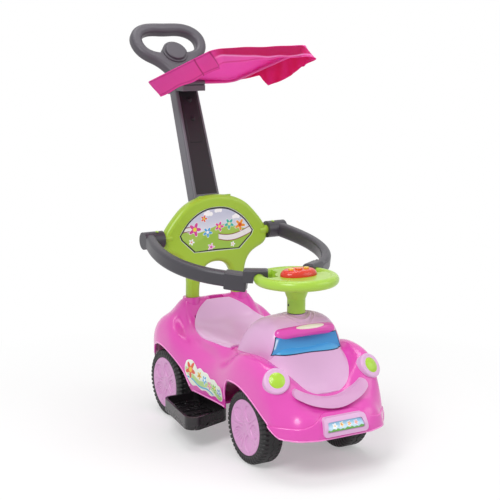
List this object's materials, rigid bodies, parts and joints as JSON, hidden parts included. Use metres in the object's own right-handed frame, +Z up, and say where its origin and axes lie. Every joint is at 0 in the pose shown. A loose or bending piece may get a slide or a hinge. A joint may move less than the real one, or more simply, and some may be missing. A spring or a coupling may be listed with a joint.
{
  "type": "push car with handle",
  "caption": "Pink ride-on push car with lime backrest and steering wheel, grey guard arms, foot trays, rear push handle and cloth canopy.",
  "frame": {"origin": "centre of the car's box, on the floor", "axes": "+X forwards, +Y to the car's left, +Z up"},
  "size_m": [0.7937, 0.3864, 0.8647],
  "materials": {
    "body_pink": "glossy moulded hot pink plastic",
    "trim_pink": "satin moulded pale pink plastic",
    "lime": "satin moulded lime plastic",
    "wheel_lime": "satin moulded yellow-lime plastic",
    "dark_grey": "satin moulded dark grey plastic",
    "pole_dark": "satin moulded charcoal plastic",
    "wheel_black": "matt moulded black plastic",
    "tray_black": "satin moulded black plastic",
    "canopy_pink": "thin woven pink cloth",
    "housing_red": "glossy red plastic",
    "button_yellow": "glossy yellow plastic",
    "button_orange": "glossy orange plastic",
    "steel": "plated steel",
    "board_green": "green circuit board",
    "cell_case": "printed metal case",
    "speaker_black": "black speaker",
    "plate_print": "printed plastic sheet"
  },
  "bodies": {
    "body": {"body_shell": "body_pink", "underbody": "tray_black", "front_cowl": "trim_pink", "steering_bush": "tray_black", "visor_bar": "body_pink", "headlight_bezel_left": "trim_pink", "headlight_bezel_right": "trim_pink", "headlight_lens_left": "lime", "headlight_lens_right": "lime", "bumper_bar": "trim_pink", "plate_frame": "trim_pink", "number_plate": "plate_print", "backrest": "lime", "push_pole": "pole_dark", "push_handle": "dark_grey", "handle_cap": "dark_grey", "canopy_bracket": "dark_grey", "rear_axle": "steel", "axle_spacers": "tray_black", "rear_push_nuts": "steel", "king_pins": "steel", "king_pin_nuts": "steel", "seat_hinge_pin": "steel", "foot_tray_left": "tray_black", "foot_tray_right": "tray_black", "tray_screws": "steel"},
    "seat": {"seat_lid": "trim_pink"},
    "arm_left": {"guard_arm_left": "dark_grey"},
    "arm_right": {"guard_arm_right": "dark_grey"},
    "steering": {"steering_wheel": "wheel_lime", "steering_rod": "steel", "battery_door": "wheel_lime", "battery_cells": "cell_case", "circuit_board": "board_green", "speaker": "speaker_black", "sound_housing": "housing_red"},
    "sound_button_left": {"button_left": "button_yellow"},
    "sound_button_middle": {"button_middle": "button_orange"},
    "sound_button_right": {"button_right": "housing_red"},
    "track_rod": {"tie_rod": "tray_black"},
    "knuckle_left": {"steering_knuckle_left": "tray_black", "stub_push_nut_left": "steel"},
    "knuckle_right": {"steering_knuckle_right": "tray_black", "stub_push_nut_right": "steel"},
    "wheel_front_left": {"front_wheel_left": "wheel_black", "front_hubcap_left": "trim_pink"},
    "wheel_front_right": {"front_wheel_right": "wheel_black", "front_hubcap_right": "trim_pink"},
    "wheel_rear_left": {"rear_wheel_left": "wheel_black", "rear_hubcap_left": "trim_pink"},
    "wheel_rear_right": {"rear_wheel_right": "wheel_black", "rear_hubcap_right": "trim_pink"},
    "canopy": {"canopy_frame": "steel", "canopy_cloth": "canopy_pink"}
  },
  "joints": [
    {"name": "seat_lift", "type": "hinge", "parent": "body", "child": "seat", "pos_m": [0.11473, 0, 0.2065], "axis": [0, 1, 0], "range_deg": [0, 60]},
    {"name": "arm_left_lift", "type": "hinge", "parent": "body", "child": "arm_left", "pos_m": [-0.12827, 0.155, 0.402], "axis": [0, -1, 0], "range_deg": [0, 80]},
    {"name": "arm_right_lift", "type": "hinge", "parent": "body", "child": "arm_right", "pos_m": [-0.12827, -0.155, 0.402], "axis": [0, -1, 0], "range_deg": [0, 80]},
    {"name": "steer", "type": "hinge", "parent": "body", "child": "steering", "pos_m": [0.21173, 0, 0.2], "axis": [0, 0, 1], "range_deg": [-20, 20]},
    {"name": "press_left", "type": "slide", "parent": "steering", "child": "sound_button_left", "axis": [0, 0, -1], "range_m": [0, 0.002], "stiffness_N_per_m": 400},
    {"name": "press_middle", "type": "slide", "parent": "steering", "child": "sound_button_middle", "axis": [0, 0, -1], "range_m": [0, 0.002], "stiffness_N_per_m": 400},
    {"name": "press_right", "type": "slide", "parent": "steering", "child": "sound_button_right", "axis": [0, 0, -1], "range_m": [0, 0.002], "stiffness_N_per_m": 400},
    {"name": "track_shift", "type": "slide", "parent": "body", "child": "track_rod", "axis": [0, 1, 0], "range_m": [-0.0136, 0.0136]},
    {"name": "swivel_left", "type": "hinge", "parent": "body", "child": "knuckle_left", "pos_m": [0.22423, 0.062, 0.075], "axis": [0, 0, 1], "range_deg": [-15.2, 15.2]},
    {"name": "spin_front_left", "type": "hinge", "parent": "knuckle_left", "child": "wheel_front_left", "pos_m": [0.22423, 0.103, 0.075], "axis": [0, 1, 0], "continuous": true},
    {"name": "spin_rear_left", "type": "hinge", "parent": "body", "child": "wheel_rear_left", "pos_m": [-0.13627, 0.103, 0.075], "axis": [0, 1, 0], "continuous": true},
    {"name": "swivel_right", "type": "hinge", "parent": "body", "child": "knuckle_right", "pos_m": [0.22423, -0.062, 0.075], "axis": [0, 0, 1], "range_deg": [-15.2, 15.2]},
    {"name": "spin_front_right", "type": "hinge", "parent": "knuckle_right", "child": "wheel_front_right", "pos_m": [0.22423, -0.103, 0.075], "axis": [0, 1, 0], "continuous": true},
    {"name": "spin_rear_right", "type": "hinge", "parent": "body", "child": "wheel_rear_right", "pos_m": [-0.13627, -0.103, 0.075], "axis": [0, 1, 0], "continuous": true},
    {"name": "canopy_tilt", "type": "hinge", "parent": "body", "child": "canopy", "pos_m": [-0.23127, 0, 0.733], "axis": [0, -1, 0], "range_deg": [-12, 15]}
  ],
  "couplings": [
    {"joint": "track_shift", "follows": "steer", "m_per_rad": -0.038},
    {"joint": "swivel_left", "follows": "steer", "ratio": 0.75248},
    {"joint": "swivel_right", "follows": "steer", "ratio": 0.75248}
  ]
}
